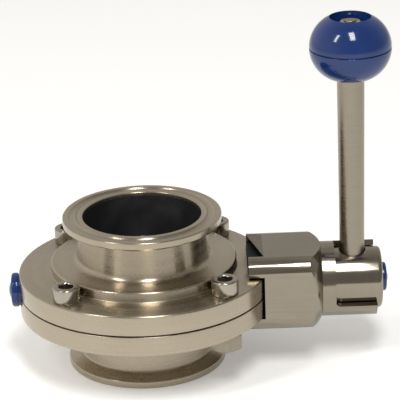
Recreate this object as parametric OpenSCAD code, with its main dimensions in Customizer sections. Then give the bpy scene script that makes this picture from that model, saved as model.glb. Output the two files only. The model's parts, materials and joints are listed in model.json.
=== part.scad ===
// Clamp-end butterfly valve with a pull-to-release lever. Millimetres, +Z up.
// Origin: centre of the lower ferrule face. The stem lies along +X at half height.

/* [Pipe ends] */
// Outside diameter of each clamp ferrule
ferrule_d = 64; // [54:0.5:78]
// Thickness of the ferrule rim at its edge
ferrule_rim_t = 2.85; // [2:0.05:4]
// Inside diameter of the flow path
bore_d = 47.8; // [38:0.1:58]
// Distance between the two ferrule faces
face_to_face = 62.5; // [52:0.5:76]
// Wall of the neck behind each ferrule
neck_wall = 2.55; // [1.5:0.05:4]

/* [Body] */
// Radial width of the raised step around the neck
boss_step = 11.05; // [8:0.05:14]
// Radial width of the bolted rim outside the step
flange_step = 13.2; // [12.6:0.1:20]
// Thickness of the rim on each body half
flange_t = 8.5; // [7:0.1:12]
// Height of the raised step above the rim
boss_h = 4.2; // [2:0.1:7]
// Thread diameter of the body screws
body_screw_d = 6; // [4:0.5:6]
// Head diameter of the body screws
body_head_d = 10.8; // [8:0.1:11]
// Size across flats of the body nuts
body_nut_af = 12; // [8:0.5:12]

/* [Stem and disc] */
// Diameter of the stem journals
stem_d = 10; // [8:0.1:12]
// Size across flats of the square drive on the stem
drive_af = 8; // [5:0.1:8.4]
// Gap between the disc edge and the seat, each side
disc_gap = 0.3; // [0.2:0.05:0.5]
// Radial running clearance of the stem
stem_fit = 0.05; // [0.02:0.01:0.1]

/* [Lever housing] */
// Half depth of the square part of the housing, front to back
housing_half_y = 18.35; // [16:0.05:22]
// Half height of the square part of the housing
housing_half_z = 15.4; // [15.3:0.05:19]
// Corner radius of the square part
housing_corner_r = 6.2; // [4:0.1:7]
// Length of the housing from the body flat to its open end
housing_len = 46.1; // [44:0.1:58]
// Outside radius of the round part of the housing
barrel_r = 15.2; // [14.9:0.05:15.3]
// Bore radius of the round part of the housing
barrel_bore_r = 13; // [12.9:0.05:13.4]

/* [Lever] */
// Radius of the turning hub
hub_r = 12.54; // [12:0.01:12.6]
// Diameter of the lever rod where it slides in the hub
rod_d = 10; // [8:0.1:10.6]
// Diameter of the lever rod at the knob
rod_top_d = 10.9; // [9:0.1:13]
// Height of the knob centre above the stem axis
knob_height = 98; // [80:0.5:120]
// Diameter of the ball knob
knob_d = 32.5; // [26:0.5:40]
// Travel of the rod when it is pulled
pull_travel = 6; // [4:0.5:6]

/* [Hidden] */
$fn = 96;
tiny = 0.01;
past = 1;
cut = 80;
mid_z = face_to_face / 2;
bore_r = bore_d / 2;
neck_r = bore_r + neck_wall;
boss_r = neck_r + boss_step;
rim_r = boss_r + flange_step;
boss_z = flange_t + boss_h;
ferrule_slope = 20;
edge_round = 0.8;
small_edge = 0.35;
foot_r = 2.2;
step_foot_r = 0.4;
glue_gap = 0.02;
face_w = ferrule_d / 2 - bore_r;
groove_r = bore_r + face_w / 2 - 0.05;
groove_w = min(1.9, face_w * 0.3);
groove_depth = groove_w / 2;
seam_gap = 0.15;
seam_depth = 1.6;

stem_r = stem_d / 2;
mouth_lip = 1.5;
liner_out_r = bore_r + neck_wall * 0.43;
seat_bead = 2.2;
seat_r = bore_r - seat_bead;
seat_out_r = bore_r + 7.6;
bead_half = stem_r + 1.2;
seat_half_in = stem_r + 2.2;
seat_half_out = stem_r + 1.2;
disc_r = seat_r - disc_gap;
blade_half = stem_r * 0.84;
blade_hub_r = stem_r + 1;
blade_taper = 1.2;
blade_rim_half = 1.6;
blade_edge_half = 0.8;
stem_hole_r = stem_r + stem_fit;
bearing_r = stem_r + 2;
seal_r = 0.95;
seal_x = seat_out_r + 1.1;
bearing_x = seal_x + 1.1;

bolt_r = (boss_r + rim_r) / 2 - 0.2;
screw_clear = 0.3;
body_head_h = 6;
body_head_edge = 0.7;
body_socket_af = 5.6;
body_socket_depth = 3.4;
socket_rim = 0.5;
body_nut_h = 6.3;
nut_corner_angle = 43;
screw_tip = 1.2;
screw_short = 1.5;
bolt_turn = 1.6;
lever_side = [45 + bolt_turn, 315 + bolt_turn];
cap_side = [135 + bolt_turn, 225 + bolt_turn];

flat_x = rim_r - 3.3;
pocket_x = flat_x - 5.7;
pocket_half_y = 11.6;
cap_flange_r = 6.95;
cap_neck_r = 6.5;
cap_neck = 1.7;
cap_flange_t = 2.75;
cap_edge = 1.1;
cap_dome_r = 3.9;
cap_dome_h = 1.15;
cap_gap = 0.2;
cap_face_x = rim_r - 1.1;
cap_pin_r = 4.2;
cap_pin_len = 6.6;
cap_bore_x = cap_face_x - 8.6;
stem_end_x = cap_bore_x - 0.6;

guide_half_y = pocket_half_y - 0.2;
guide_half_z = 12.4;
guide_fit = 0.35;
guide_end_x = flat_x + 2.4;
prong_x = pocket_x + 0.2;
prong_gap = 0.5;
notch_x = flat_x + 0.7;
shoulder_c = flat_x - 1.1;
shoulder_r = 29.4;
housing_end = flat_x + housing_len;
barrel_x = flat_x + 14;
step_x = flat_x + 25.8;
window_x = flat_x + 29.4;
window_from = -27;
window_to = 117;
window_corner = 2.2;
detent_r = rod_d / 2 - 0.6;

hub_gap = 0.35;
hub_neck_r = 9;
hub_x = step_x + hub_gap;
hub_end = housing_end + 2.4;
hub_round = 1.6;
hub_neck_x = guide_end_x + 0.6;
drive_gap = 0.1;
drive_x = guide_end_x;
drive_end = flat_x + 18.6;
web_x = drive_end + 0.5;
web_t = 3.4;
axial_r = 5.2;
hub_screw_r = 2.5;
hub_head_r = 4.25;
hub_head_h = 4.6;
hub_head_edge = 0.4;
hub_screw_grip = 10;
screw_end_gap = 2;
screw_hole_fit = 0.25;
hub_washer_r = hub_head_r + 0.5;
hub_washer_t = 1;
hub_socket_af = 4;
hub_socket_depth = 2.4;
plug_r = 5.85;
plug_h = 2.1;
plug_edge = 0.9;
plug_dome_r = 2.9;
plug_dome_h = 0.75;
plug_pin_len = 5.2;

rod_x = flat_x + 36.9;
rod_r = rod_d / 2;
rod_hole_r = rod_r + 0.45;
rod_fit = 0.06;
well_r = rod_r + 1.4;
well_top = 10.2;
bush_h = 3.6;
spring_top = well_top - bush_h;
spring_wire_r = 0.42;
spring_turns = 5.5;
spring_steps = 24;
spring_sides = 8;
spring_pressed = 6.2;
collar_top = spring_top - spring_pressed - pull_travel;
collar_h = 2.4;
collar_r = well_r - 0.32;
tip_r = rod_r - 1.05;
tip_reach = barrel_bore_r - 0.38;
stop_top = collar_top - collar_h - 0.15;
stop_bottom = -10.6;
stop_fit = 0.35;
rod_stud_r = 2.4;
rod_stud_len = 4;
taper_z = 12.7;
knob_r = knob_d / 2;
knob_arc_r = knob_r * 0.831;
knob_top = knob_r * 0.766;
knob_bottom = knob_r * 0.72;
knob_socket = 3.6;
knob_stud_r = 2.5;
knob_recess_r = min(8.2, knob_r * 0.505);
knob_recess = 4.2;
knob_split = 0.18;
knob_split_depth = 0.7;
knob_nut_af = 8;
knob_nut_h = 2.4;
knob_stud_out = 0.5;

// Turns a shape drawn along +Z so that it runs along the stem, starting at x.
module along_stem(x) {
  translate([x, 0, mid_z]) rotate([0, 90, 0]) children();
}

// A disc of material with a rounded outer edge at its far end.
module rounded_end(r, h, edge) {
  cylinder(r = r, h = h - edge);
  cylinder(r = r - edge, h = h);
  translate([0, 0, h - edge]) rotate_extrude() translate([r - edge, 0]) circle(r = edge, $fn = 32);
}

// A hexagonal prism given by its size across flats.
module hex(af, h) {
  cylinder(d = af / cos(30), h = h, $fn = 6);
}

module at_bolts(turns) {
  for (turn = turns) rotate([0, 0, turn]) translate([bolt_r, 0, 0]) children();
}

// One body half, drawn upward from the joint face at z = 0.
module half_turned() {
  rim_z = mid_z - ferrule_rim_t;
  slope_z = rim_z - (ferrule_d / 2 - neck_r) * tan(ferrule_slope);
  rotate_extrude() polygon([
    [liner_out_r, 0], [rim_r - seam_depth, 0], [rim_r - seam_depth, seam_gap],
    [rim_r, seam_gap + small_edge], [rim_r, flange_t - edge_round], [rim_r - edge_round, flange_t],
    [boss_r, flange_t], [boss_r, boss_z - edge_round], [boss_r - edge_round, boss_z],
    [neck_r, boss_z], [neck_r, slope_z], [ferrule_d / 2 - small_edge, rim_z],
    [ferrule_d / 2, rim_z + small_edge], [ferrule_d / 2, mid_z - small_edge],
    [ferrule_d / 2 - small_edge, mid_z], [bore_r + small_edge, mid_z], [bore_r, mid_z - small_edge],
    [bore_r, mid_z - mouth_lip], [liner_out_r, mid_z - mouth_lip]]);
  rotate_extrude() translate([neck_r, boss_z]) difference() {
    translate([-tiny, -tiny]) square(foot_r);
    translate([foot_r, foot_r]) circle(r = foot_r);
  }
  rotate_extrude() translate([boss_r, flange_t]) difference() {
    translate([-tiny, -tiny]) square(step_foot_r);
    translate([step_foot_r, step_foot_r]) circle(r = step_foot_r);
  }
}

module body_half() {
  difference() {
    half_turned();
    // gasket groove in the clamp face
    translate([0, 0, mid_z + groove_w - groove_depth]) rotate_extrude()
      translate([groove_r, 0]) circle(r = groove_w);
    // seat pocket
    rotate_extrude() polygon([[bore_r - past, -past], [seat_out_r, -past], [seat_out_r, seat_half_out],
      [liner_out_r, seat_half_in], [bore_r - past, seat_half_in]]);
    // bearing bores, the cap bore and its seat
    translate([seat_out_r - past, 0, 0]) rotate([0, 90, 0]) cylinder(r = bearing_r, h = cut);
    translate([-cap_bore_x, 0, 0]) rotate([0, 90, 0])
      cylinder(r = bearing_r, h = cap_bore_x - seat_out_r + past);
    translate([-rim_r - past, 0, 0]) rotate([0, 90, 0])
      cylinder(r = cap_pin_r, h = rim_r - cap_bore_x + 2 * past);
    translate([-cap_face_x - cut, 0, 0]) rotate([0, 90, 0]) cylinder(r = cap_flange_r + cap_gap, h = cut);
    // flat and pocket for the lever housing
    translate([flat_x, -cut / 2, -past]) cube([cut, cut, cut / 2]);
    translate([pocket_x, -pocket_half_y, -past]) cube([cut, 2 * pocket_half_y, cut / 2]);
    at_bolts(lever_side) screw_hole(body_screw_d + 2 * screw_clear);
  }
}

module screw_hole(d) {
  translate([0, 0, -past]) cylinder(d = d, h = boss_z + 2 * past);
}

module upper_body() {
  color("silver") translate([0, 0, mid_z]) difference() {
    body_half();
    at_bolts(cap_side) screw_hole(body_screw_d + 2 * screw_clear);
  }
}

// The two screws on the cap side are tapped into the lower half and have no nut.
module lower_body() {
  color("silver") translate([0, 0, mid_z]) mirror([0, 0, 1]) difference() {
    body_half();
    at_bolts(cap_side) screw_hole(body_screw_d + 2 * glue_gap);
  }
}

// A liner through the whole bore, with a bead that the disc closes against and a web held
// between the two body halves.
module seat() {
  end = mid_z - mouth_lip;
  flank = bead_half + seat_bead;
  color("dimgray") difference() {
    translate([0, 0, mid_z]) rotate_extrude() polygon([[bore_r, -end], [liner_out_r, -end],
      [liner_out_r, -seat_half_in], [seat_out_r, -seat_half_out], [seat_out_r, seat_half_out],
      [liner_out_r, seat_half_in], [liner_out_r, end], [bore_r, end], [bore_r, flank],
      [seat_r, bead_half], [seat_r, -bead_half], [bore_r, -flank]]);
    along_stem(-cut / 2) cylinder(r = stem_hole_r, h = cut);
  }
}

// The blade stands edge-on to the flow, in line with the raised lever.
module disc() {
  color("lightsteelblue") difference() {
    union() {
      translate([0, 0, mid_z]) rotate([90, 0, 0]) rotate_extrude() polygon([[0, -blade_half],
        [blade_hub_r, -blade_half], [disc_r - blade_taper, -blade_rim_half], [disc_r, -blade_edge_half],
        [disc_r, blade_edge_half], [disc_r - blade_taper, blade_rim_half], [blade_hub_r, blade_half],
        [0, blade_half]]);
      along_stem(-stem_end_x) cylinder(r = stem_r, h = stem_end_x + drive_x);
      intersection() {
        translate([drive_x - past, -drive_af / 2, mid_z - drive_af / 2])
          cube([drive_end - drive_x + past, drive_af, drive_af]);
        along_stem(drive_x - past) cylinder(r = stem_r, h = cut);
      }
    }
    along_stem(drive_end - hub_screw_grip - screw_end_gap)
      cylinder(r = hub_screw_r, h = hub_screw_grip + screw_end_gap + past);
  }
}

module stem_seals() {
  color("black") for (x = [-seal_x, seal_x]) along_stem(x) rotate_extrude()
    translate([stem_hole_r + seal_r, 0]) circle(r = seal_r, $fn = 48);
}

module bearing(x, length) {
  along_stem(x) difference() {
    cylinder(r = bearing_r, h = length);
    translate([0, 0, -past]) cylinder(r = stem_hole_r, h = length + 2 * past);
  }
}

module drive_bearing() {
  color("ivory") bearing(bearing_x, pocket_x - bearing_x);
}

module cap_bearing() {
  color("ivory") bearing(-stem_end_x, stem_end_x - bearing_x);
}

// A low spherical dome on the plane z = 0.
module dome(r, h) {
  sphere_r = (r * r + h * h) / (2 * h);
  intersection() {
    translate([0, 0, -tiny]) cylinder(r = r, h = h + tiny);
    translate([0, 0, h - sphere_r]) sphere(r = sphere_r, $fn = 128);
  }
}

// A flanged push-in cap with a low dome in the middle.
module trunnion_cap() {
  color("royalblue") {
    translate([-cap_face_x - cap_neck, 0, mid_z]) rotate([0, -90, 0]) {
      rounded_end(cap_flange_r, cap_flange_t, cap_edge);
      translate([0, 0, cap_flange_t]) dome(cap_dome_r, cap_dome_h);
    }
    along_stem(-cap_face_x - cap_neck - tiny) cylinder(r = cap_neck_r, h = cap_neck + tiny);
    along_stem(-cap_face_x - tiny) cylinder(r = cap_pin_r - glue_gap, h = cap_pin_len + tiny);
  }
}

module body_screw(reach) {
  difference() {
    union() {
      translate([0, 0, flange_t]) rounded_end(body_head_d / 2, body_head_h, body_head_edge);
      translate([0, 0, flange_t - reach]) cylinder(d = body_screw_d, h = reach + tiny);
    }
    translate([0, 0, flange_t + body_head_h - body_socket_depth]) hex(body_socket_af, cut);
    translate([0, 0, flange_t + body_head_h - socket_rim])
      cylinder(d1 = body_socket_af, d2 = body_socket_af + 4 * socket_rim, h = 2 * socket_rim);
  }
}

module body_screws() {
  color("gainsboro") translate([0, 0, mid_z]) {
    at_bolts(lever_side) body_screw(2 * flange_t + body_nut_h + screw_tip);
    at_bolts(cap_side) body_screw(2 * flange_t - screw_short);
  }
}

module body_nuts() {
  nut_face_r = body_nut_af / 2 - 0.1;
  color("gainsboro") translate([0, 0, mid_z]) at_bolts(lever_side) difference() {
    translate([0, 0, -flange_t - body_nut_h]) intersection() {
      rotate([0, 0, 30]) hex(body_nut_af, body_nut_h);
      cylinder(r1 = nut_face_r, r2 = nut_face_r + body_nut_h / tan(nut_corner_angle), h = body_nut_h);
    }
    translate([0, 0, -flange_t - body_nut_h - past]) cylinder(d = body_screw_d, h = body_nut_h + 2 * past);
  }
}

module stem_guide() {
  color("black") difference() {
    translate([pocket_x, -guide_half_y, mid_z - guide_half_z])
      cube([guide_end_x - pocket_x, 2 * guide_half_y, 2 * guide_half_z]);
    along_stem(pocket_x - past) cylinder(r = stem_r + guide_fit, h = cut);
  }
}

// A bar along the stem with rounded long edges.
module rounded_bar(x0, x1) {
  flat_y = housing_half_y - housing_corner_r;
  flat_z = housing_half_z - housing_corner_r;
  for (y = [-flat_y, flat_y]) for (z = [-flat_z, flat_z])
    translate([0, y, z]) along_stem(x0) cylinder(r = housing_corner_r, h = x1 - x0);
  translate([x0, -housing_half_y, mid_z - flat_z]) cube([x1 - x0, 2 * housing_half_y, 2 * flat_z]);
  translate([x0, -flat_y, mid_z - housing_half_z]) cube([x1 - x0, 2 * flat_y, 2 * housing_half_z]);
}

// The opening for the lever in the round wall, from the front edge to past the top.
// Angle 0 is the front, 90 the top; both side edges are straight and their inner corners round.
module handle_window() {
  corner_turn = asin(window_corner / barrel_r);
  from = window_from + corner_turn;
  to = window_to - corner_turn;
  along_stem(window_x) rotate([0, 0, -90 - to]) rotate_extrude(angle = to - from)
    translate([hub_r, 0]) square([barrel_r - hub_r + past, cut]);
  for (side = [-1, 1]) translate([window_x + window_corner, 0, mid_z])
    rotate([90 - (side < 0 ? from : to), 0, 0]) translate([0, 0, hub_r]) {
      cylinder(r = window_corner, h = barrel_r - hub_r + past, $fn = 48);
      translate([0, side < 0 ? -window_corner : 0, 0])
        cube([cut, window_corner, barrel_r - hub_r + past]);
    }
}

module handle_housing() {
  color("silver") difference() {
    union() {
      intersection() {
        rounded_bar(prong_x, shoulder_c + shoulder_r);
        translate([shoulder_c, 0, mid_z]) sphere(r = shoulder_r, $fn = 192);
      }
      along_stem(barrel_x) cylinder(r = barrel_r, h = housing_end - barrel_x);
    }
    // clearance around the rim, leaving two prongs above it and two below
    translate([0, -cut / 2, mid_z - flange_t - prong_gap]) cube([notch_x, cut, 2 * (flange_t + prong_gap)]);
    translate([0, -pocket_half_y, mid_z - cut / 2]) cube([notch_x, 2 * pocket_half_y, cut]);
    translate([0, -guide_half_y, mid_z - guide_half_z])
      cube([guide_end_x, 2 * guide_half_y, 2 * guide_half_z]);
    along_stem(guide_end_x - past) cylinder(r = hub_neck_r + hub_gap, h = cut);
    along_stem(step_x) cylinder(r = barrel_bore_r, h = cut);
    handle_window();
    // detent holes for the lock tip, below and behind
    translate([rod_x, 0, mid_z - barrel_r - past]) cylinder(r = detent_r, h = barrel_r);
    translate([rod_x, barrel_r + past, mid_z]) rotate([90, 0, 0]) cylinder(r = detent_r, h = barrel_r);
  }
}

module hub() {
  color("silver") difference() {
    union() {
      along_stem(hub_x) rounded_end(hub_r, hub_end - hub_x, hub_round);
      along_stem(hub_neck_x) cylinder(r = hub_neck_r, h = hub_x - hub_neck_x + tiny);
    }
    translate([hub_neck_x - past, -drive_af / 2 - drive_gap, mid_z - drive_af / 2 - drive_gap])
      cube([web_x - hub_neck_x + past, drive_af + 2 * drive_gap, drive_af + 2 * drive_gap]);
    along_stem(web_x - past) cylinder(r = hub_screw_r + screw_hole_fit, h = web_t + 2 * past);
    along_stem(web_x + web_t) cylinder(r = axial_r, h = cut);
    translate([rod_x, 0, mid_z]) cylinder(r = rod_hole_r, h = cut);
    translate([rod_x, 0, mid_z + well_top - cut]) cylinder(r = well_r, h = cut);
  }
}

module hub_washer() {
  color("gainsboro") along_stem(web_x + web_t) difference() {
    cylinder(r = hub_washer_r, h = hub_washer_t);
    translate([0, 0, -past]) cylinder(r = hub_screw_r + screw_hole_fit, h = hub_washer_t + 2 * past);
  }
}

module hub_screw() {
  head_x = web_x + web_t + hub_washer_t;
  color("gainsboro") difference() {
    union() {
      along_stem(head_x) rounded_end(hub_head_r, hub_head_h, hub_head_edge);
      along_stem(drive_end - hub_screw_grip)
        cylinder(r = hub_screw_r, h = head_x - drive_end + hub_screw_grip + tiny);
    }
    along_stem(head_x + hub_head_h - hub_socket_depth) hex(hub_socket_af, cut);
  }
}

module hub_plug() {
  color("royalblue") {
    along_stem(hub_end) rounded_end(plug_r, plug_h, plug_edge);
    along_stem(hub_end + plug_h) dome(plug_dome_r, plug_dome_h);
    along_stem(hub_end - plug_pin_len) cylinder(r = axial_r - glue_gap, h = plug_pin_len + tiny);
  }
}

module rod_bush() {
  color("black") translate([rod_x, 0, mid_z + spring_top]) difference() {
    cylinder(r = well_r, h = bush_h);
    translate([0, 0, -past]) cylinder(r = rod_r + rod_fit, h = bush_h + 2 * past);
  }
}

// The ring that keeps the plunger in the hub.
module plunger_stop() {
  color("gainsboro") translate([rod_x, 0, mid_z + stop_bottom]) difference() {
    cylinder(r = well_r, h = stop_top - stop_bottom);
    translate([0, 0, -past]) cylinder(r = tip_r + stop_fit, h = stop_top - stop_bottom + 2 * past);
  }
}

function coil_point(i, j) =
  let (turn = 360 * i / spring_steps,
       side = 360 * j / spring_sides,
       low = collar_top + spring_wire_r + tiny,
       rise = spring_top - collar_top - 2 * spring_wire_r - 2 * tiny,
       mean_r = (rod_r + well_r) / 2,
       r = mean_r + spring_wire_r * cos(side))
  [r * cos(turn), r * sin(turn),
   low + rise * i / (spring_turns * spring_steps) + spring_wire_r * sin(side)];

module lock_spring() {
  last = spring_turns * spring_steps;
  count = (last + 1) * spring_sides;
  points = [for (i = [0 : last]) for (j = [0 : spring_sides - 1]) coil_point(i, j)];
  skin = [for (i = [0 : last - 1]) for (j = [0 : spring_sides - 1])
    let (a = i * spring_sides + j, b = i * spring_sides + (j + 1) % spring_sides)
    [a, b, b + spring_sides, a + spring_sides]];
  first_end = [for (j = [spring_sides - 1 : -1 : 0]) j];
  last_end = [for (j = [0 : spring_sides - 1]) count - spring_sides + j];
  color("gainsboro") translate([rod_x, 0, mid_z]) polyhedron(
    points = points, faces = concat(skin, [first_end, last_end]));
}

// Collar and tip; the tip is rounded to turn inside the housing bore.
module lock_plunger() {
  color("gainsboro") difference() {
    union() {
      translate([rod_x, 0, mid_z + collar_top - collar_h]) cylinder(r = collar_r, h = collar_h);
      intersection() {
        translate([rod_x, 0, mid_z - barrel_r]) cylinder(r = tip_r, h = barrel_r + collar_top - past);
        along_stem(rod_x - barrel_r) cylinder(r = tip_reach, h = 2 * barrel_r);
      }
    }
    translate([rod_x, 0, mid_z + collar_top - rod_stud_len])
      cylinder(r = rod_stud_r, h = rod_stud_len + past);
  }
}

module handle_rod() {
  knob_foot = knob_height - knob_bottom;
  color("silver") translate([rod_x, 0, mid_z]) {
    translate([0, 0, collar_top - rod_stud_len]) cylinder(r = rod_stud_r, h = rod_stud_len + tiny);
    translate([0, 0, collar_top]) cylinder(r = rod_r, h = taper_z - collar_top + tiny);
    translate([0, 0, taper_z]) cylinder(r1 = rod_r, r2 = rod_top_d / 2, h = knob_foot - taper_z);
    translate([0, 0, knob_foot - tiny]) cylinder(d = rod_top_d, h = knob_socket + tiny);
    translate([0, 0, knob_foot]) cylinder(r = knob_stud_r,
      h = knob_bottom + knob_top - knob_recess + knob_nut_h + knob_stud_out);
  }
}

// The flattened ball, open through its middle for the rod and its stud.
module knob_ball() {
  translate([rod_x, 0, mid_z + knob_height]) difference() {
    rotate_extrude($fn = 192) {
      intersection() {
        translate([knob_r - knob_arc_r, 0]) circle(r = knob_arc_r, $fn = 192);
        translate([0, -knob_arc_r]) square([knob_r, 2 * knob_arc_r]);
      }
      translate([0, -knob_arc_r]) square([knob_r - knob_arc_r, 2 * knob_arc_r]);
    }
    translate([-cut / 2, -cut / 2, knob_top]) cube(cut);
    translate([-cut / 2, -cut / 2, -knob_bottom - cut]) cube(cut);
    translate([0, 0, -knob_bottom - past])
      cylinder(r = rod_top_d / 2 + glue_gap, h = knob_socket + past);
    translate([0, 0, -knob_r]) cylinder(r = knob_stud_r + glue_gap, h = 2 * knob_r);
    translate([0, 0, knob_top - knob_recess]) cylinder(r = knob_recess_r, h = cut);
    rotate_extrude() translate([knob_r - knob_split_depth, -knob_split])
      square([knob_split_depth + past, 2 * knob_split]);
  }
}

module knob_lower() {
  color("royalblue") intersection() {
    knob_ball();
    translate([rod_x - cut / 2, -cut / 2, mid_z + knob_height - cut]) cube(cut);
  }
}

module knob_upper() {
  color("royalblue") intersection() {
    knob_ball();
    translate([rod_x - cut / 2, -cut / 2, mid_z + knob_height]) cube(cut);
  }
}

module knob_nut() {
  color("gainsboro") translate([rod_x, 0, mid_z + knob_height + knob_top - knob_recess]) difference() {
    hex(knob_nut_af, knob_nut_h);
    translate([0, 0, -past]) cylinder(r = knob_stud_r, h = knob_nut_h + 2 * past);
  }
}

upper_body();
lower_body();
seat();
disc();
stem_seals();
drive_bearing();
cap_bearing();
trunnion_cap();
body_screws();
body_nuts();
stem_guide();
handle_housing();
hub();
hub_washer();
hub_screw();
hub_plug();
rod_bush();
plunger_stop();
lock_spring();
lock_plunger();
handle_rod();
knob_lower();
knob_upper();
knob_nut();
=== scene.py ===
import json
import math

import bpy
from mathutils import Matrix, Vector


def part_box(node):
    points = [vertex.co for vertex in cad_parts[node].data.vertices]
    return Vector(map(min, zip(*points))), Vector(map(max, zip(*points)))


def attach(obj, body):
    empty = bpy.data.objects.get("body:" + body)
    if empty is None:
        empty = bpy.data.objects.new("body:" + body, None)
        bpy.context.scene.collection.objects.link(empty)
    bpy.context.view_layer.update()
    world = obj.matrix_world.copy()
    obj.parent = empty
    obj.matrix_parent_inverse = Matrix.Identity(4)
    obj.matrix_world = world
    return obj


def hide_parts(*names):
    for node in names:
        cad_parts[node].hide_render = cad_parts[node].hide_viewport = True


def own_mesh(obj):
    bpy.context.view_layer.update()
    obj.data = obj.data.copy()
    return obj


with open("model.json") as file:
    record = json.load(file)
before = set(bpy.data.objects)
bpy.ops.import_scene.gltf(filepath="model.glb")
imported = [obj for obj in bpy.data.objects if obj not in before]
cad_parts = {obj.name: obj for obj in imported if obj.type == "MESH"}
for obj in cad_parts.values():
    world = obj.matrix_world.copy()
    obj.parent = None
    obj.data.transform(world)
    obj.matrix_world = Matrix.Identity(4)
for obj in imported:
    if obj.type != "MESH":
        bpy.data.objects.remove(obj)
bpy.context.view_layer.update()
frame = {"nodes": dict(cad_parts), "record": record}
mm = 0.001

# places that every piece is set from
valveLow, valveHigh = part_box("upper_body")
midZ = valveLow.z  # height of the stem and of the joint between the body halves
rimR = valveHigh.y
halfFace = valveHigh.z - midZ
rodLow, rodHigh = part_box("handle_rod")
rodX = (rodLow.x + rodHigh.x) / 2
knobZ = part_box("knob_upper")[0].z
mounts = {m["name"]: m for m in frame["record"]["mounts"]}
ferruleR = mounts["upper_ferrule_rim"]["dims"]["r_mm"] * mm
print("frame loaded, stem axis at", round(midZ, 5))


# Each piece's own values are in millimetres and degrees; everything handed to Blender is in metres.

def clearSelection():
    if bpy.context.object and bpy.context.object.mode != "OBJECT":
        bpy.ops.object.mode_set(mode="OBJECT")
    bpy.ops.object.select_all(action="DESELECT")


def pick(piece):
    clearSelection()
    piece.select_set(True)
    bpy.context.view_layer.objects.active = piece


def edit(piece, select="SELECT"):
    pick(piece)
    bpy.ops.object.mode_set(mode="EDIT")
    bpy.ops.mesh.select_mode(type="VERT")
    bpy.ops.mesh.select_all(action=select)


def leave():
    bpy.ops.object.mode_set(mode="OBJECT")


def named(name):
    piece = bpy.context.object
    piece.name = piece.data.name = name
    return piece


def cleanUp(piece, weld=1e-6):
    edit(piece)
    bpy.ops.mesh.remove_doubles(threshold=weld)
    bpy.ops.mesh.normals_make_consistent(inside=False)
    leave()
    return piece


def settle(piece):
    pick(piece)
    bpy.ops.object.transform_apply(location=True, rotation=True, scale=True)
    return piece


def selectVertices(piece, wanted):
    edit(piece, "DESELECT")
    leave()
    for v in piece.data.vertices:
        v.select = bool(wanted(v))
    bpy.ops.object.mode_set(mode="EDIT")


# An outline point is (radius, height) or (radius, height, corner rounding).
def rounded(points, steps=5):
    out = []
    count = len(points)
    for i, point in enumerate(points):
        here = Vector(point[:2])
        radius = point[2] if len(point) > 2 else 0
        if not radius:
            out.append(here)
            continue
        before = (Vector(points[i - 1][:2]) - here).normalized()
        after = (Vector(points[(i + 1) % count][:2]) - here).normalized()
        half = before.angle(after) / 2
        reach = radius / math.tan(half)
        centre = here + (before + after).normalized() * (radius / math.sin(half))
        start = here + before * reach - centre
        finish = here + after * reach - centre
        sweep = start.angle_signed(finish)
        for k in range(steps + 1):
            turn = -sweep * k / steps
            out.append(centre + Vector((start.x * math.cos(turn) - start.y * math.sin(turn),
                                        start.x * math.sin(turn) + start.y * math.cos(turn))))
    return out


# Spins an outline about an axis through centre; an open outline starts and ends on the axis.
def turned(name, outline, centre, axis="Z", steps=144, closed=True, arc=5):
    along = {"X": Vector((1, 0, 0)), "Y": Vector((0, 1, 0)), "Z": Vector((0, 0, 1))}[axis]
    out = {"X": Vector((0, -1, 0)), "Y": Vector((1, 0, 0)), "Z": Vector((0, -1, 0))}[axis]
    points = [Vector(centre) + out * p.x * mm + along * p.y * mm for p in rounded(outline, arc)]
    clearSelection()
    bpy.ops.mesh.primitive_plane_add(size=mm)
    piece = named(name)
    edit(piece)
    bpy.ops.mesh.merge(type="CENTER")
    bpy.ops.transform.translate(value=points[0])
    for last, this in zip(points, points[1:]):
        bpy.ops.mesh.extrude_vertices_move(TRANSFORM_OT_translate={"value": this - last})
    if closed:
        selectVertices(piece, lambda v: v.index in (0, len(points) - 1))
        bpy.ops.mesh.edge_face_add()
    bpy.ops.mesh.select_all(action="SELECT")
    bpy.ops.mesh.spin(steps=steps, angle=2 * math.pi, center=centre, axis=along)
    leave()
    return cleanUp(piece)


def block(low, high, name="cutter"):
    clearSelection()
    low, high = Vector(low), Vector(high)
    bpy.ops.mesh.primitive_cube_add(size=1, location=(low + high) / 2, scale=high - low)
    return settle(named(name))


def bar(start, finish, radius, sides=72, name="cutter"):
    clearSelection()
    start, finish = Vector(start), Vector(finish)
    aim = (finish - start).to_track_quat("Z", "Y").to_euler()
    bpy.ops.mesh.primitive_cylinder_add(vertices=sides, radius=radius, depth=(finish - start).length,
                                        location=(start + finish) / 2, rotation=aim)
    return settle(named(name))


def combine(piece, other, how="DIFFERENCE"):
    pick(piece)
    change = piece.modifiers.new("combine", "BOOLEAN")
    change.operation = how
    change.solver = "EXACT"
    change.object = other
    bpy.ops.object.modifier_apply(modifier=change.name)
    bpy.data.objects.remove(other)
    return piece


def breakEdges(piece, width, segments=2, angle=35):
    pick(piece)
    soften = piece.modifiers.new("soften", "BEVEL")
    soften.width = width
    soften.segments = segments
    soften.limit_method = "ANGLE"
    soften.angle_limit = math.radians(angle)
    soften.miter_outer = "MITER_ARC"
    soften.use_clamp_overlap = True
    bpy.ops.object.modifier_apply(modifier=soften.name)
    return piece


def copyOf(piece, move):
    pick(piece)
    bpy.ops.object.duplicate(linked=False)
    twin = bpy.context.object
    edit(twin)
    bpy.ops.transform.translate(value=move)
    leave()
    return twin


def hexRadius(across):
    return across / 2 / math.cos(math.radians(30)) * mm


def joined(pieces, name):
    clearSelection()
    for p in pieces:
        p.select_set(True)
    bpy.context.view_layer.objects.active = pieces[0]
    bpy.ops.object.join()
    return named(name)


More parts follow.
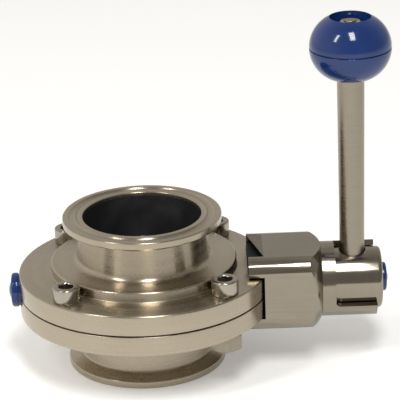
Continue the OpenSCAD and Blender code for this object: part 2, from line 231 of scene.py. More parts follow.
def complete(piece, node, finish, smooth=32):
    pick(piece)
    bpy.ops.object.shade_smooth_by_angle(angle=math.radians(smooth))
    piece.data.materials.clear()
    piece.data.materials.append(finish)
    body = next(b for b, nodes in frame["record"]["behaviour"]["bodies"].items() if node in nodes)
    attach(piece, body)
    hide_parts(node)
    print("made", piece.name, len(piece.data.polygons), "faces")
    return piece


# Wraps a socket, so that an expression on values adds its Math nodes.
class Value:
    def __init__(self, recipe, socket):
        self.recipe, self.socket = recipe, socket

    def math(self, operation, *others):
        return self.recipe.node("ShaderNodeMath", {"operation": operation}, self, *others)

    def __add__(self, other):
        return self.math("ADD", other)

    def __mul__(self, other):
        return self.math("MULTIPLY", other)

    def __pow__(self, other):
        return self.math("POWER", other)

    def __rsub__(self, other):
        return self.recipe.node("ShaderNodeMath", {"operation": "SUBTRACT"}, other, self)

    __radd__ = __add__
    __rmul__ = __mul__


class Recipe:
    def __init__(self, owner):
        owner.use_nodes = True
        self.owner = owner
        self.tree = owner.node_tree
        self.tree.nodes.clear()

    def node(self, kind, settings=None, *inputs, output=0, **sockets):
        made = self.tree.nodes.new(kind)
        for key, value in (settings or {}).items():
            setattr(made, key, value)
        for key, value in list(enumerate(inputs)) + list(sockets.items()):
            target = made.inputs[key if isinstance(key, int) else key.replace("_", " ")]
            if isinstance(value, Value):
                self.tree.links.new(value.socket, target)
            else:
                target.default_value = value
        return Value(self, made.outputs[output]) if len(made.outputs) else None

    def blendColour(self, amount, first, second):
        made = self.tree.nodes.new("ShaderNodeMix")
        made.data_type = "RGBA"
        for socket, value in ((made.inputs[0], amount), (made.inputs[6], first), (made.inputs[7], second)):
            if isinstance(value, Value):
                self.tree.links.new(value.socket, socket)
            else:
                socket.default_value = value if isinstance(value, (int, float)) else (*value, 1)
        return Value(self, made.outputs[2])

    def place(self):
        return self.node("ShaderNodeTexCoord", output=3)

    def noise(self, vector, scale, detail=2.0, rough=0.5):
        return self.node("ShaderNodeTexNoise", None, Vector=vector, Scale=scale, Detail=detail,
                         Roughness=rough)

    def stretched(self, vector, scale):
        return self.node("ShaderNodeVectorMath", {"operation": "MULTIPLY"}, vector, scale)

    def between(self, value, low, high, first, second):
        return self.node("ShaderNodeMapRange", None, Value=value, From_Min=low, From_Max=high,
                         To_Min=first, To_Max=second)

    def bump(self, height, distance, strength=1.0):
        return self.node("ShaderNodeBump", None, Height=height, Distance=distance, Strength=strength)

    def surface(self, **sockets):
        shader = self.node("ShaderNodeBsdfPrincipled", None, **sockets)
        self.node("ShaderNodeOutputMaterial", None, shader)
        return self.owner


def recipeFor(name):
    return Recipe(bpy.data.materials.new(name))


def turnedSteel(name, centre, axis, tint, rough=0.24, marks=1.0, aniso=0.0):
    r = recipeFor(name)
    local = r.node("ShaderNodeVectorMath", {"operation": "SUBTRACT"}, r.place(), tuple(centre))
    parts = r.node("ShaderNodeSeparateXYZ", None, local).socket.node.outputs
    parts = dict(zip("XYZ", (Value(r, s) for s in parts)))
    around = [parts[k] for k in "XYZ" if k != axis]
    radius = (around[0] * around[0] + around[1] * around[1]) ** 0.5
    rings = r.node("ShaderNodeCombineXYZ", None, radius, parts[axis], 0.0)
    fine = r.noise(rings, 5200, 2, 0.6)  # single tool marks, about a fifth of a millimetre
    bands = r.noise(rings, 520, 3, 0.55)  # wider bands left by the feed
    cloud = r.noise(r.place(), 38, 4, 0.6)  # handling and cleaning haze
    scratch = r.noise(r.stretched(local, (900, 260, 420)), 1.0, 2, 0.7)
    worn = r.between(scratch, 0.64, 0.7, 0.0, 1.0)
    tone = r.between(fine * 0.35 + bands * 0.35 + cloud * 0.3, 0.3, 0.7, 0.0, 1.0)
    colour = r.blendColour(tone, [c * 0.88 for c in tint], [c * 1.1 for c in tint])
    roughness = r.between(bands * 0.5 + cloud * 0.5, 0.3, 0.7, rough * 0.8, rough * 1.25) + worn * 0.06
    height = fine * 0.7 + bands * 0.5
    return r.surface(Base_Color=colour, Roughness=roughness, Metallic=1.0, Anisotropic=aniso,
                     Anisotropic_Rotation=0.25, Normal=r.bump(height, 0.000012 * marks, 0.6))


def brushedSteel(name, tint, stretch=(60, 1500, 1500), rough=0.22):
    r = recipeFor(name)
    grain = r.noise(r.stretched(r.place(), stretch), 1.0, 3, 0.6)
    cloud = r.noise(r.place(), 45, 4, 0.6)
    across = (stretch[0] * 3, stretch[1] * 0.6, stretch[2] * 0.6)
    scratch = r.noise(r.stretched(r.place(), across), 1.0, 2, 0.7)
    worn = r.between(scratch, 0.66, 0.72, 0.0, 1.0)
    tone = r.between(grain * 0.55 + cloud * 0.45, 0.3, 0.7, 0.0, 1.0)
    colour = r.blendColour(tone, [c * 0.9 for c in tint], [c * 1.1 for c in tint])
    roughness = r.between(grain * 0.5 + cloud * 0.5, 0.3, 0.7, rough * 0.82, rough * 1.2) + worn * 0.08
    return r.surface(Base_Color=colour, Roughness=roughness, Metallic=1.0,
                     Normal=r.bump(grain, 0.00001, 0.5))


def mouldedPlastic(name, tint, deep, rough=0.13, grain=0.00001, specular=0.5):
    r = recipeFor(name)
    flow = r.noise(r.place(), 60, 3, 0.5)
    skin = r.noise(r.place(), 900, 2, 0.5)  # orange peel of the mould
    hair = r.noise(r.stretched(r.place(), (1300, 420, 2100)), 1.0, 2, 0.6)
    marks = r.between(hair, 0.66, 0.74, 0.0, 1.0)
    colour = r.blendColour(r.between(flow, 0.35, 0.65, 0.0, 1.0), deep, tint)
    roughness = r.between(flow * 0.6 + skin * 0.4, 0.3, 0.7, rough * 0.8, rough * 1.3) + marks * 0.1
    return r.surface(Base_Color=colour, Roughness=roughness, Specular_IOR_Level=specular,
                     Normal=r.bump(skin, grain, 0.5))


def rubberSkin(name, tint, rough=0.42):
    r = recipeFor(name)
    pores = r.noise(r.place(), 2600, 3, 0.6)
    bloom = r.noise(r.place(), 70, 4, 0.6)  # pale bloom that rubber gets
    colour = r.blendColour(r.between(bloom, 0.45, 0.75, 0.0, 1.0), tint, [c * 2.2 + 0.003 for c in tint])
    roughness = r.between(bloom * 0.6 + pores * 0.4, 0.3, 0.7, rough * 0.85, rough * 1.2)
    return r.surface(Base_Color=colour, Roughness=roughness, Normal=r.bump(pores, 0.00002, 0.5))


looks = {
    "bodyTint": (0.43, 0.375, 0.29),
    "leverTint": (0.29, 0.257, 0.203),
    "brightTint": (0.46, 0.42, 0.35),
    "screwTint": (0.37, 0.335, 0.28),
    "blue": (0.008, 0.033, 0.15),
    "blueDeep": (0.006, 0.025, 0.12),
    "black": (0.012, 0.012, 0.013),
}
pipeAxis = (0, 0, midZ)
stemAxis = (0, 0, midZ)
rodAxis = (rodX, 0, midZ)
bodySteel = turnedSteel("turnedBodySteel", pipeAxis, "Z", looks["bodyTint"], 0.27, 1.0, 0.85)
hubSteel = turnedSteel("turnedHubSteel", stemAxis, "X", looks["leverTint"], 0.13, 0.4)
rodSteel = turnedSteel("satinRodSteel", rodAxis, "Z", looks["leverTint"], 0.27, 0.8)
discSteel = turnedSteel("polishedDiscSteel", stemAxis, "Y", looks["brightTint"], 0.15, 0.4)
housingSteel = brushedSteel("housingSteel", looks["leverTint"], (70, 1400, 1400), 0.17)
fastenerSteel = brushedSteel("fastenerSteel", looks["screwTint"], (900, 900, 300), 0.2)
nutSteel = brushedSteel("nutSteel", looks["leverTint"], (500, 500, 200), 0.3)
wireSteel = brushedSteel("wireSteel", looks["brightTint"], (2200, 2200, 2200), 0.25)
bluePlastic = mouldedPlastic("bluePlastic", looks["blue"], looks["blueDeep"], 0.11)
blackPlastic = mouldedPlastic("blackPlastic", looks["black"], (0.008, 0.008, 0.009), 0.5, 0.00003, 0.15)
ivoryPlastic = mouldedPlastic("ivoryPlastic", (0.72, 0.69, 0.6), (0.62, 0.59, 0.5), 0.4, 0.00002)
linerRubber = rubberSkin("linerRubber", (0.015, 0.015, 0.0155))
print("finishes made")


body = {
    "boreR": 23.9, "linerR": 25.0, "lip": 1.5, "neckR": 26.45, "stepR": 37.5, "stepZ": 12.7,
    "rimT": 8.5, "seamDepth": 1.6, "seamGap": 0.15, "ferruleT": 2.85, "slope": 20,
    "grooveR": 27.9, "grooveW": 1.9, "grooveDepth": 0.95, "webR": 31.5, "webIn": 7.2, "webOut": 6.2,
    "flatX": 47.4, "pocketX": 41.7, "pocketY": 11.6, "bearingR": 7.0, "capR": 7.15, "capX": 49.6,
    "capPinR": 4.2, "boltR": 43.9, "boltHoleR": 3.3, "boltTurn": 1.6,
    "tapR": 3.02, "screwHoleHalf": 20.0, "bearingFrom": 26.0, "capBearingTo": 41.0, "capPinFrom": 40.0,
    "cutPast": 80.0, "cutBehind": 1.0,
}
leverSide = (45 + body["boltTurn"], 315 + body["boltTurn"])
capSide = (135 + body["boltTurn"], 225 + body["boltTurn"])


def bodyOutline():
    b = body
    face, rim, tip = halfFace / mm, rimR / mm, ferruleR / mm
    back = face - b["ferruleT"]
    root = back - (tip - b["neckR"]) * math.tan(math.radians(b["slope"]))
    half = math.sqrt(b["grooveW"] ** 2 - (b["grooveW"] - b["grooveDepth"]) ** 2)
    groove = [(b["grooveR"] + half * math.cos(math.pi * k / 10),
               face - b["grooveDepth"] * math.sin(math.pi * k / 10)) for k in range(1, 10)]
    return [(b["webR"], 0), (rim - b["seamDepth"], 0), (rim - b["seamDepth"], b["seamGap"]),
            (rim, b["seamGap"] + 0.2, 0.15), (rim, b["rimT"], 0.7), (b["stepR"], b["rimT"], 0.4),
            (b["stepR"], b["stepZ"], 0.8), (b["neckR"], b["stepZ"], 2.2), (b["neckR"], root, 1.0),
            (tip, back, 0.5), (tip, face, 0.45), (b["grooveR"] + half, face, 0.12), *groove,
            (b["grooveR"] - half, face, 0.12), (b["boreR"], face, 0.4), (b["boreR"], face - b["lip"]),
            (b["linerR"], face - b["lip"]), (b["linerR"], b["webIn"]), (b["webR"], b["webOut"])]


def boltPlace(turn):
    return Vector((math.cos(math.radians(turn)), math.sin(math.radians(turn)), 0)) * body["boltR"] * mm


def makeBodyHalf(name, node, up):
    b = body
    outline = [(p[0], p[1] * up, *p[2:]) for p in bodyOutline()]
    half = turned(name, outline, pipeAxis, "Z", 192, arc=4)
    m = midZ
    far = b["cutPast"] * mm
    behind = b["cutBehind"] * mm
    edge = (m - behind, m + far) if up > 0 else (m - far, m + behind)
    combine(half, block((b["flatX"] * mm, -far, edge[0]), (far, far, edge[1])))
    combine(half, block((b["pocketX"] * mm, -b["pocketY"] * mm, edge[0]),
                        (far, b["pocketY"] * mm, edge[1])))
    start = b["bearingFrom"] * mm
    combine(half, bar((start, 0, m), (far, 0, m), b["bearingR"] * mm))
    combine(half, bar((-start, 0, m), (-b["capBearingTo"] * mm, 0, m), b["bearingR"] * mm))
    combine(half, bar((-b["capPinFrom"] * mm, 0, m), (-far, 0, m), b["capPinR"] * mm))
    combine(half, bar((-b["capX"] * mm, 0, m), (-far, 0, m), b["capR"] * mm))
    for turn in leverSide + capSide:
        middle = Vector(pipeAxis) + boltPlace(turn)
        reach = Vector((0, 0, b["screwHoleHalf"] * mm))
        holeR = b["tapR"] if turn in capSide and up < 0 else b["boltHoleR"]
        combine(half, bar(middle - reach, middle + reach, holeR * mm, 40))
    cleanUp(half, 2e-6)
    return complete(half, node, bodySteel)


makeBodyHalf("bodyHalfUpper", "upper_body", 1)
makeBodyHalf("bodyHalfLower", "lower_body", -1)


liner = {"beadR": 21.7, "beadHalf": 6.2, "stemHoleR": 5.05, "holeHalf": 60.0}
disc = {"bladeR": 21.4, "hubR": 6.0, "hubHalf": 4.2, "rimHalf": 1.6, "edgeHalf": 0.8, "taper": 1.2,
        "stemR": 5.0, "farEnd": -40.4, "driveX": 49.8, "driveEnd": 66.0, "across": 8.0,
        "screwHoleX": 54.0, "screwHoleR": 2.5, "cutPast": 80.0}


def makeLiner():
    b, s = body, liner
    end = halfFace / mm - b["lip"]
    flank = s["beadHalf"] + b["boreR"] - s["beadR"]
    outline = [(b["boreR"], -end), (b["linerR"], -end), (b["linerR"], -b["webIn"]),
               (b["webR"], -b["webOut"]),
               (b["webR"], b["webOut"]), (b["linerR"], b["webIn"]), (b["linerR"], end), (b["boreR"], end),
               (b["boreR"], flank, 1.2), (s["beadR"], s["beadHalf"], 1.2),
               (s["beadR"], -s["beadHalf"], 1.2), (b["boreR"], -flank, 1.2)]
    piece = turned("boreLiner", outline, pipeAxis, "Z", 144)
    reach = s["holeHalf"] * mm
    combine(piece, bar((-reach, 0, midZ), (reach, 0, midZ), s["stemHoleR"] * mm))
    return complete(piece, "seat", linerRubber)


def makeDisc():
    d = disc
    blade = turned("discAndStem", [(0, -d["hubHalf"]), (d["hubR"], -d["hubHalf"], 1.5),
                                   (d["bladeR"] - d["taper"], -d["rimHalf"], 0.6),
                                   (d["bladeR"], -d["edgeHalf"], 0.4), (d["bladeR"], d["edgeHalf"], 0.4),
                                   (d["bladeR"] - d["taper"], d["rimHalf"], 0.6),
                                   (d["hubR"], d["hubHalf"], 1.5), (0, d["hubHalf"])],
                   stemAxis, "Y", 128, closed=False)
    stem = turned("stem", [(0, d["farEnd"]), (d["stemR"], d["farEnd"], 0.5), (d["stemR"], d["driveX"], 0.2),
                           (0, d["driveX"])], stemAxis, "X", 96, closed=False)
    combine(blade, stem, "UNION")
    h = d["across"] / 2 * mm
    drive = block(((d["driveX"] - 1) * mm, -h, midZ - h), (d["driveEnd"] * mm, h, midZ + h), "drive")
    far = d["cutPast"] * mm
    combine(drive, bar(((d["driveX"] - 2) * mm, 0, midZ), (far, 0, midZ), d["stemR"] * mm, 96), "INTERSECT")
    combine(blade, drive, "UNION")
    combine(blade, bar((d["screwHoleX"] * mm, 0, midZ), (far, 0, midZ), d["screwHoleR"] * mm, 48))
    return complete(cleanUp(blade), "disc", discSteel, 40)


makeLiner()
makeDisc()


def domePoints(radius, height, face, way, steps=8):
    ballR = (radius ** 2 + height ** 2) / (2 * height)
    centre = height - ballR
    top = math.asin(radius / ballR)
    turns = [top * (1 - k / steps) for k in range(steps + 1)]
    return [(ballR * math.sin(a), face + way * (centre + ballR * math.cos(a))) for a in turns]


cap = {"flangeR": 6.95, "neckR": 6.5, "neck": 1.7, "flangeT": 2.75, "edge": 1.1, "domeR": 3.9,
       "domeH": 1.15, "pinR": 4.18, "pinLength": 6.6}
plug = {"flangeR": 5.85, "flangeT": 2.1, "edge": 0.9, "domeR": 2.9, "domeH": 0.75, "pinR": 5.18,
        "pinLength": 5.2}


def makeCap():
    c = cap
    seat = -body["capX"]
    under = seat - c["neck"]
    face = under - c["flangeT"]
    outline = [(0, seat + c["pinLength"]), (c["pinR"], seat + c["pinLength"], 0.5), (c["pinR"], seat),
               (c["neckR"], seat, 0.2), (c["neckR"], under), (c["flangeR"], under, 0.3),
               (c["flangeR"], face, c["edge"]), *domePoints(c["domeR"], c["domeH"], face, -1)]
    piece = turned("stemBoreCap", outline, stemAxis, "X", 96, closed=False, arc=6)
    return complete(piece, "trunnion_cap", bluePlastic, 40)


def makePlug():
    p = plug
    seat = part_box("hub_plug")[0].x / mm + p["pinLength"]
    face = seat + p["flangeT"]
    outline = [(0, seat - p["pinLength"]), (p["pinR"], seat - p["pinLength"], 0.5), (p["pinR"], seat),
               (p["flangeR"], seat, 0.15), (p["flangeR"], face, p["edge"]),
               *domePoints(p["domeR"], p["domeH"], face, 1)]
    piece = turned("hubPlug", outline, stemAxis, "X", 96, closed=False, arc=6)
    return complete(piece, "hub_plug", bluePlastic, 40)


makeCap()
makePlug()


screw = {"headR": 5.4, "headH": 6.0, "headEdge": 0.7, "shankR": 3.0, "reach": 24.5,
         "shortReach": 15.5, "socket": 5.6, "socketDepth": 3.4, "tipInset": 0.2, "tipEdge": 0.6,
         "mouthEdge": 0.5}
nut = {"across": 12.0, "height": 6.3, "holeR": 3.02, "coneInset": 0.1, "coneH": 1.4, "flare": 2.0,
       "past": 0.02, "edge": 0.12}


def atBolts(piece, turns):
    copies = [copyOf(piece, boltPlace(turn)) for turn in turns]
    bpy.data.objects.remove(piece)
    return copies


def makeScrew(reach):
    s = screw
    under = body["rimT"]
    top = under + s["headH"]
    base = (0, 0, midZ)
    tip = under - reach + s["tipInset"]
    mouth = s["mouthEdge"]
    outline = [(0, tip), (s["shankR"] - s["tipEdge"], tip), (s["shankR"], tip + s["tipEdge"]),
               (s["shankR"], under), (s["headR"], under, 0.25), (s["headR"], top, s["headEdge"]),
               (s["socket"] / 2 + mouth, top, 0.15), (s["socket"] / 2, top - mouth), (0, top - mouth)]
    one = turned("screw", outline, base, "Z", 72, closed=False, arc=4)
    combine(one, bar((0, 0, midZ + (top - s["socketDepth"]) * mm), (0, 0, midZ + (top + 1) * mm),
                     hexRadius(s["socket"]), 6))
    return cleanUp(one)


def makeScrews():
    longScrews = atBolts(makeScrew(screw["reach"]), leverSide)
    shortScrews = atBolts(makeScrew(screw["shortReach"]), capSide)
    return complete(joined(longScrews + shortScrews, "bodyScrews"), "body_screws", fastenerSteel, 30)


def makeNuts():
    n = nut
    top = -body["rimT"]
    low = top - n["height"]
    flat = n["across"] / 2
    one = bar((0, 0, midZ + low * mm), (0, 0, midZ + top * mm), hexRadius(n["across"]), 6, "nut")
    cone = turned("cone", [(0, low - n["past"]), (flat - n["coneInset"], low - n["past"]),
                           (flat + n["flare"], low + n["coneH"]), (flat + n["flare"], top + n["past"]),
                           (0, top + n["past"])], pipeAxis, "Z", 72, closed=False)
    combine(one, cone, "INTERSECT")
    combine(one, bar((0, 0, midZ + (low - 1) * mm), (0, 0, midZ + (top + 1) * mm), n["holeR"] * mm, 48))
    breakEdges(one, n["edge"] * mm, 2, 30)
    pair = joined(atBolts(cleanUp(one), leverSide), "bodyNuts")
    return complete(pair, "body_nuts", nutSteel, 30)


makeScrews()
makeNuts()


guide = {"edge": 0.5, "stemHoleR": 5.35, "holeFrom": 30.0, "holeTo": 60.0}


def makeGuide():
    g = guide
    low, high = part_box("stem_guide")
    piece = block(low, high, "stemGuide")
    breakEdges(piece, g["edge"] * mm, 3, 40)
    combine(piece, bar((g["holeFrom"] * mm, 0, midZ), (g["holeTo"] * mm, 0, midZ), g["stemHoleR"] * mm, 72))
    return complete(cleanUp(piece), "stem_guide", blackPlastic)


housing = {"halfY": 18.35, "halfZ": 15.4, "cornerR": 6.2, "shoulderX": 46.3, "shoulderR": 29.4,
           "barrelX": 61.4, "barrelR": 15.2, "boreR": 13.0, "stepX": 73.2, "neckHoleR": 9.35,
           "notchX": 48.1, "notchHalf": 9.0, "guideX": 49.8, "guideY": 11.4, "guideZ": 12.4,
           "windowX": 76.8, "windowFrom": -27, "windowTo": 117, "windowCorner": 2.2, "detentR": 4.4,
           "crossHalf": 11.6, "neckHoleFrom": 45.0, "cutPast": 120.0, "cutSide": 60.0, "wedgeR": 30.0,
           "wallFrom": 11.5, "wallCut": 10.0, "detentCut": 6.0, "overlap": 0.3, "edge": 0.22}


# Turn is measured about the stem, from the front towards the top.
def wallDirection(turn):
    return Vector((0, -math.cos(math.radians(turn)), math.sin(math.radians(turn))))


def makeHousing():
    h = housing
    low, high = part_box("handle_housing")
    m = midZ
    axis = Vector((0, 0, m))
    wide = h["halfY"] * mm
    tall = h["halfZ"] * mm
    shoulderEnd = (h["shoulderX"] + h["shoulderR"]) * mm
    piece = block((low.x, -wide, m - tall), (shoulderEnd, wide, m + tall), "leverHousing")
    edit(piece, "DESELECT")
    bpy.ops.mesh.select_mode(type="EDGE")
    leave()
    for edge in piece.data.edges:  # the four edges along the stem
        a, b = (piece.data.vertices[i].co for i in edge.vertices)
        edge.select = abs(a.x - b.x) > 10 * mm
    bpy.ops.object.mode_set(mode="EDIT")
    bpy.ops.mesh.bevel(offset=h["cornerR"] * mm, segments=14, affect="EDGES")
    leave()
    clearSelection()
    bpy.ops.mesh.primitive_uv_sphere_add(segments=144, ring_count=96, radius=h["shoulderR"] * mm,
                                         location=(h["shoulderX"] * mm, 0, m),
                                         rotation=(0, math.pi / 2, 0))
    combine(piece, settle(named("shoulder")), "INTERSECT")
    combine(piece, bar((h["barrelX"] * mm, 0, m), (high.x, 0, m), h["barrelR"] * mm, 144, "barrel"), "UNION")
    far = h["cutSide"] * mm
    end = h["cutPast"] * mm
    notch = h["notchHalf"] * mm
    cross = h["crossHalf"] * mm
    notchEnd = h["notchX"] * mm
    combine(piece, block((0, -far, m - notch), (notchEnd, far, m + notch)))
    combine(piece, block((0, -cross, m - far), (notchEnd, cross, m + far)))
    combine(piece, block((0, -h["guideY"] * mm, m - h["guideZ"] * mm),
                         (h["guideX"] * mm, h["guideY"] * mm, m + h["guideZ"] * mm)))
    combine(piece, bar((h["neckHoleFrom"] * mm, 0, m), (end, 0, m), h["neckHoleR"] * mm, 96))
    combine(piece, bar((h["stepX"] * mm, 0, m), (end, 0, m), h["boreR"] * mm, 144))
    # window: a wedge about the stem, then a straight side and a round corner at each end
    corner = math.degrees(math.asin(h["windowCorner"] / h["barrelR"]))
    ends = (h["windowFrom"] + corner, h["windowTo"] - corner)
    wedge = bar((h["windowX"] * mm, 0, m), (end, 0, m), h["wedgeR"] * mm, 160, "wedge")
    edit(wedge)
    for turn, keepFront in zip(ends, (True, False)):
        bpy.ops.mesh.select_all(action="SELECT")
        normal = Vector((0, math.sin(math.radians(turn)), math.cos(math.radians(turn))))
        bpy.ops.mesh.bisect(plane_co=axis, plane_no=normal, use_fill=True,
                            clear_inner=keepFront, clear_outer=not keepFront)
    leave()
    combine(piece, cleanUp(wedge))
    for turn, side in zip(ends, (-1, 1)):
        out = wallDirection(turn)
        across = Vector((0, math.sin(math.radians(turn)), math.cos(math.radians(turn)))) * side
        x = (h["windowX"] + h["windowCorner"]) * mm
        start = axis + Vector((x, 0, 0)) + out * h["wallFrom"] * mm
        deep = h["wallCut"] * mm
        combine(piece, bar(start, start + out * deep, h["windowCorner"] * mm, 64))
        slot = block((0, -h["overlap"] * mm, 0), (50 * mm, h["windowCorner"] * mm, deep), "slot")
        pick(slot)
        for v in slot.data.vertices:
            x1, y1, z1 = v.co
            v.co = start + Vector((x1, 0, 0)) + across * y1 + out * z1
        combine(piece, cleanUp(slot))
    for way in (Vector((0, 0, -1)), Vector((0, 1, 0))):
        start = Vector((rodX, 0, m)) + way * h["wallFrom"] * mm
        combine(piece, bar(start, start + way * h["detentCut"] * mm, h["detentR"] * mm, 64))
    cleanUp(piece, 3e-6)
    breakEdges(piece, h["edge"] * mm, 2, 40)
    return complete(piece, "handle_housing", housingSteel, 35)


makeGuide()
makeHousing()


hub = {"startX": 73.55, "endX": 95.9, "r": 12.54, "round": 1.6, "neckX": 50.4, "neckR": 9.0,
       "socket": 4.1, "webX": 66.5, "webT": 3.4, "axialR": 5.2, "rodHoleR": 5.45, "wellR": 6.4,
       "wellTop": 10.2, "screwHoleR": 2.75, "screwHoleFrom": 60.0, "screwHoleTo": 72.0, "rodHoleFrom": 9.0,
       "cutPast": 120.0, "cutAcross": 30.0}
rod = {"footR": 2.4, "footH": 4.0, "r": 5.0, "straightTo": 12.7, "topR": 5.45, "studR": 2.5}
knob = {"r": 16.25, "arcR": 13.5, "top": 12.3, "bottom": 11.7, "socket": 3.6, "socketR": 5.47,
        "studR": 2.52, "recessR": 8.2, "recess": 4.2, "split": 0.2, "splitDepth": 0.7, "splitInset": 0.03,
        "splitEdge": 0.9, "topEdge": 0.6, "bottomEdge": 0.5}
knobNut = {"across": 8.0, "height": 2.4, "coneInset": 0.2, "coneH": 0.7, "flare": 1.0, "past": 0.01,
           "holeR": 2.51, "edge": 0.1}


def makeHub():
    u = hub
    m = midZ
    outline = [(0, u["neckX"]), (u["neckR"], u["neckX"], 0.3), (u["neckR"], u["startX"]),
               (u["r"], u["startX"], 0.3), (u["r"], u["endX"], u["round"]), (0, u["endX"])]
    piece = turned("turningHub", outline, stemAxis, "X", 190, closed=False, arc=7)
    s = u["socket"] * mm
    across = u["cutAcross"] * mm
    combine(piece, block(((u["neckX"] - 1) * mm, -s, m - s), (u["webX"] * mm, s, m + s)))
    combine(piece, bar((u["screwHoleFrom"] * mm, 0, m), (u["screwHoleTo"] * mm, 0, m),
                       u["screwHoleR"] * mm, 48))
    combine(piece, bar(((u["webX"] + u["webT"]) * mm, 0, m), (u["cutPast"] * mm, 0, m),
                       u["axialR"] * mm, 70))
    combine(piece, bar((rodX, 0, m + u["rodHoleFrom"] * mm), (rodX, 0, m + across), u["rodHoleR"] * mm, 96))
    combine(piece, bar((rodX, 0, m - across), (rodX, 0, m + u["wellTop"] * mm), u["wellR"] * mm, 96))
    cleanUp(piece, 2e-6)
    return complete(piece, "hub", hubSteel, 35)


def makeRod():
    foot = (rodLow.z - midZ) / mm
    top = (rodHigh.z - midZ) / mm
    seat = (knobZ - midZ) / mm - knob["bottom"]
    shoulder = foot + rod["footH"]
    stud = seat + knob["socket"]
    outline = [(0, foot), (rod["footR"], foot, 0.3), (rod["footR"], shoulder), (rod["r"], shoulder, 0.3),
               (rod["r"], rod["straightTo"]), (rod["topR"], seat), (rod["topR"], stud), (rod["studR"], stud),
               (rod["studR"], top, 0.4), (0, top)]
    return complete(turned("leverRod", outline, rodAxis, "Z", 128, closed=False, arc=4),
                    "handle_rod", rodSteel, 35)


# The knob is a flattened ball: an arc whose centre lies off the rod's axis.
def ballPoint(z):
    k = knob
    return k["r"] - k["arcR"] + math.sqrt(k["arcR"] ** 2 - z ** 2), z


def ballPoints(fromZ, toZ, steps):
    start, finish = (math.asin(z / knob["arcR"]) for z in (fromZ, toZ))
    turns = [start + (finish - start) * k / steps for k in range(1, steps)]
    return [ballPoint(knob["arcR"] * math.sin(turn)) for turn in turns]


def makeKnob():
    k = knob
    centre = (rodX, 0, knobZ)
    inner = k["r"] - k["splitDepth"]
    splitR = k["r"] - k["splitInset"]
    topR = ballPoint(k["top"])[0]
    lowR = ballPoint(k["bottom"])[0]
    upper = [(k["studR"], 0), (inner, 0), (inner, k["split"], 0.05), (splitR, k["split"], 0.2),
             *ballPoints(k["split"] + k["splitEdge"], k["top"] - k["topEdge"], 22), (topR, k["top"], 0.1),
             (k["recessR"], k["top"], 0.05), (k["recessR"], k["top"] - k["recess"], 0.4),
             (k["studR"], k["top"] - k["recess"])]
    lower = [(k["studR"], 0), (inner, 0), (inner, -k["split"], 0.05), (splitR, -k["split"], 0.2),
             *ballPoints(-k["split"] - k["splitEdge"], k["bottomEdge"] - k["bottom"], 22),
             (lowR, -k["bottom"], 0.4), (k["socketR"], -k["bottom"], 0.15),
             (k["socketR"], -k["bottom"] + k["socket"]),
             (k["studR"], -k["bottom"] + k["socket"])]
    complete(turned("knobUpperHalf", upper, centre, "Z", 144), "knob_upper", bluePlastic, 40)
    complete(turned("knobLowerHalf", lower, centre, "Z", 144), "knob_lower", bluePlastic, 40)


def makeKnobNut():
    n = knobNut
    low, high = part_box("knob_nut")
    flat = n["across"] / 2
    piece = bar((rodX, 0, low.z), (rodX, 0, high.z), hexRadius(n["across"]), 6, "knobNut")
    cone = turned("cone", [(0, -n["past"]), (flat + n["flare"], -n["past"]),
                           (flat + n["flare"], n["height"] - n["coneH"]),
                           (flat - n["coneInset"], n["height"] + n["past"]), (0, n["height"] + n["past"])],
                  (rodX, 0, low.z), "Z", 72, closed=False)
    combine(piece, cone, "INTERSECT")
    combine(piece, bar((rodX, 0, low.z - mm), (rodX, 0, high.z + mm), n["holeR"] * mm, 48))
    breakEdges(piece, n["edge"] * mm, 2, 30)
    return complete(cleanUp(piece), "knob_nut", fastenerSteel, 30)


spring = {"wireR": 0.42, "turns": 5.5, "sides": 12, "steps": 160}


def makeSpring():
    low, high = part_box("lock_spring")
    wireR = spring["wireR"] * mm
    meanR = (high.x - low.x) / 2 - wireR
    clearSelection()
    bpy.ops.mesh.primitive_circle_add(vertices=spring["sides"], radius=wireR, rotation=(math.pi / 2, 0, 0),
                                      location=(meanR, 0, 0))
    coil = settle(named("lockSpring"))
    pick(coil)
    wind = coil.modifiers.new("wind", "SCREW")
    wind.axis = "Z"
    wind.angle = 2 * math.pi * spring["turns"]
    wind.screw_offset = high.z - low.z - 2 * wireR
    wind.steps = spring["steps"]
    wind.render_steps = spring["steps"]
    bpy.ops.object.modifier_apply(modifier=wind.name)
    edit(coil)
    bpy.ops.transform.translate(value=(rodX, 0, low.z + wireR))
    bpy.ops.mesh.fill_holes(sides=0)
    leave()
    complete(cleanUp(coil), "lock_spring", wireSteel, 50)
    joints = {j["name"]: j for j in frame["record"]["behaviour"]["joints"]}
    travel = joints["lever_pull"]["range_m"][1]
    keep = 1 - travel / (high.z - low.z)
    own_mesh(coil)


makeHub()
makeRod()
makeKnob()
makeKnobNut()
makeSpring()


# finishes of the pieces kept from CAD
kept = {"stem_seals": linerRubber, "drive_bearing": ivoryPlastic, "cap_bearing": ivoryPlastic,
        "hub_washer": fastenerSteel, "hub_screw": fastenerSteel, "rod_bush": blackPlastic,
        "plunger_stop": fastenerSteel, "lock_plunger": fastenerSteel}
for node, finish in kept.items():
    piece = frame["nodes"][node]
    piece.data.materials.clear()
    piece.data.materials.append(finish)
print("finished", len(kept), "kept pieces")


studio = {"glow": 0.22, "floor": (0.93, 0.925, 0.91), "floorSize": 14, "distance": 1.5,
          "aim": (0.02, 0, 0.06)}
lights = {"frontWindow": {"azimuth": 9, "elevation": 60, "wide": 0.31, "tall": 0.69, "power": 12},
          "sideStrip": {"azimuth": -55, "elevation": 47.5, "wide": 0.16, "tall": 0.6, "power": 5}}
walls = {"base": 0.3, "left": 0.55, "right": 0.02, "back": 0.3, "fall": 1.5, "tint": (1.0, 0.97, 0.92, 1)}
lens = {"place": (0.01807, -0.83395, 0.39226), "target": (0.02353, 0, 0.06734), "roll": -1.959,
        "focal": 201.06, "sensor": 36, "reach": 50}


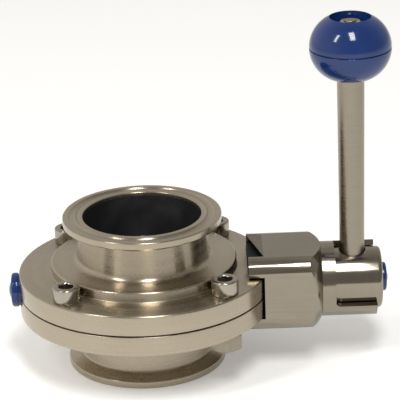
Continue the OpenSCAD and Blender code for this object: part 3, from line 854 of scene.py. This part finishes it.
def makeFloor():
    clearSelection()
    bpy.ops.mesh.primitive_plane_add(size=studio["floorSize"], location=(0, 0, 0))
    floor = named("floor")
    r = recipeFor("paleFloor")
    haze = r.noise(r.place(), 3.0, 3, 0.5)
    f = studio["floor"]
    colour = r.blendColour(haze, [c * 0.985 for c in f], f)
    floor.data.materials.append(r.surface(Base_Color=colour, Roughness=0.7, Specular_IOR_Level=0.2,
                                          Emission_Color=(1, 1, 1, 1), Emission_Strength=studio["glow"]))


def softLight(name, azimuth, elevation, wide, tall, power):
    a, e = math.radians(azimuth), math.radians(elevation)
    away = Vector((math.sin(a) * math.cos(e), -math.cos(a) * math.cos(e), math.sin(e)))
    data = bpy.data.lights.new(name, "AREA")
    data.shape = "RECTANGLE"
    data.size = wide
    data.size_y = tall
    data.energy = power
    lamp = bpy.data.objects.new(name, data)
    bpy.context.scene.collection.objects.link(lamp)
    lamp.location = Vector(studio["aim"]) + away * studio["distance"]
    lamp.rotation_euler = (-away).to_track_quat("-Z", "Y").to_euler()
    lamp.visible_camera = False


def makeWorld():
    world = bpy.data.worlds.new("studioWalls")
    bpy.context.scene.world = world
    r = Recipe(world)
    ways = r.node("ShaderNodeSeparateXYZ", None, r.node("ShaderNodeTexCoord", output=0)).socket.node.outputs
    x, y = (Value(r, s) for s in ways[:2])
    left = (0 - x).math("MAXIMUM", 0.0) ** walls["fall"]
    right = x.math("MAXIMUM", 0.0) ** walls["fall"]
    back = y.math("MAXIMUM", 0.0)
    glow = walls["base"] + left * walls["left"] + right * walls["right"] + back * walls["back"]
    shade = r.node("ShaderNodeBackground", None, walls["tint"], glow)
    r.node("ShaderNodeOutputWorld", None, shade)


def makeCamera():
    data = bpy.data.cameras.new("camera")
    camera = bpy.data.objects.new("camera", data)
    bpy.context.scene.collection.objects.link(camera)
    camera.location = lens["place"]
    look = Vector(lens["target"]) - camera.location
    camera.rotation_euler = look.to_track_quat("-Z", "Y").to_euler()
    camera.rotation_euler.rotate_axis("Z", math.radians(lens["roll"]))
    data.sensor_width = lens["sensor"]
    data.lens = lens["focal"]
    data.clip_end = lens["reach"]
    bpy.context.scene.camera = camera


makeFloor()
for name, light in lights.items():
    softLight(name, **light)
makeWorld()
makeCamera()
bpy.context.scene.view_settings.view_transform = "Standard"
print("studio set")
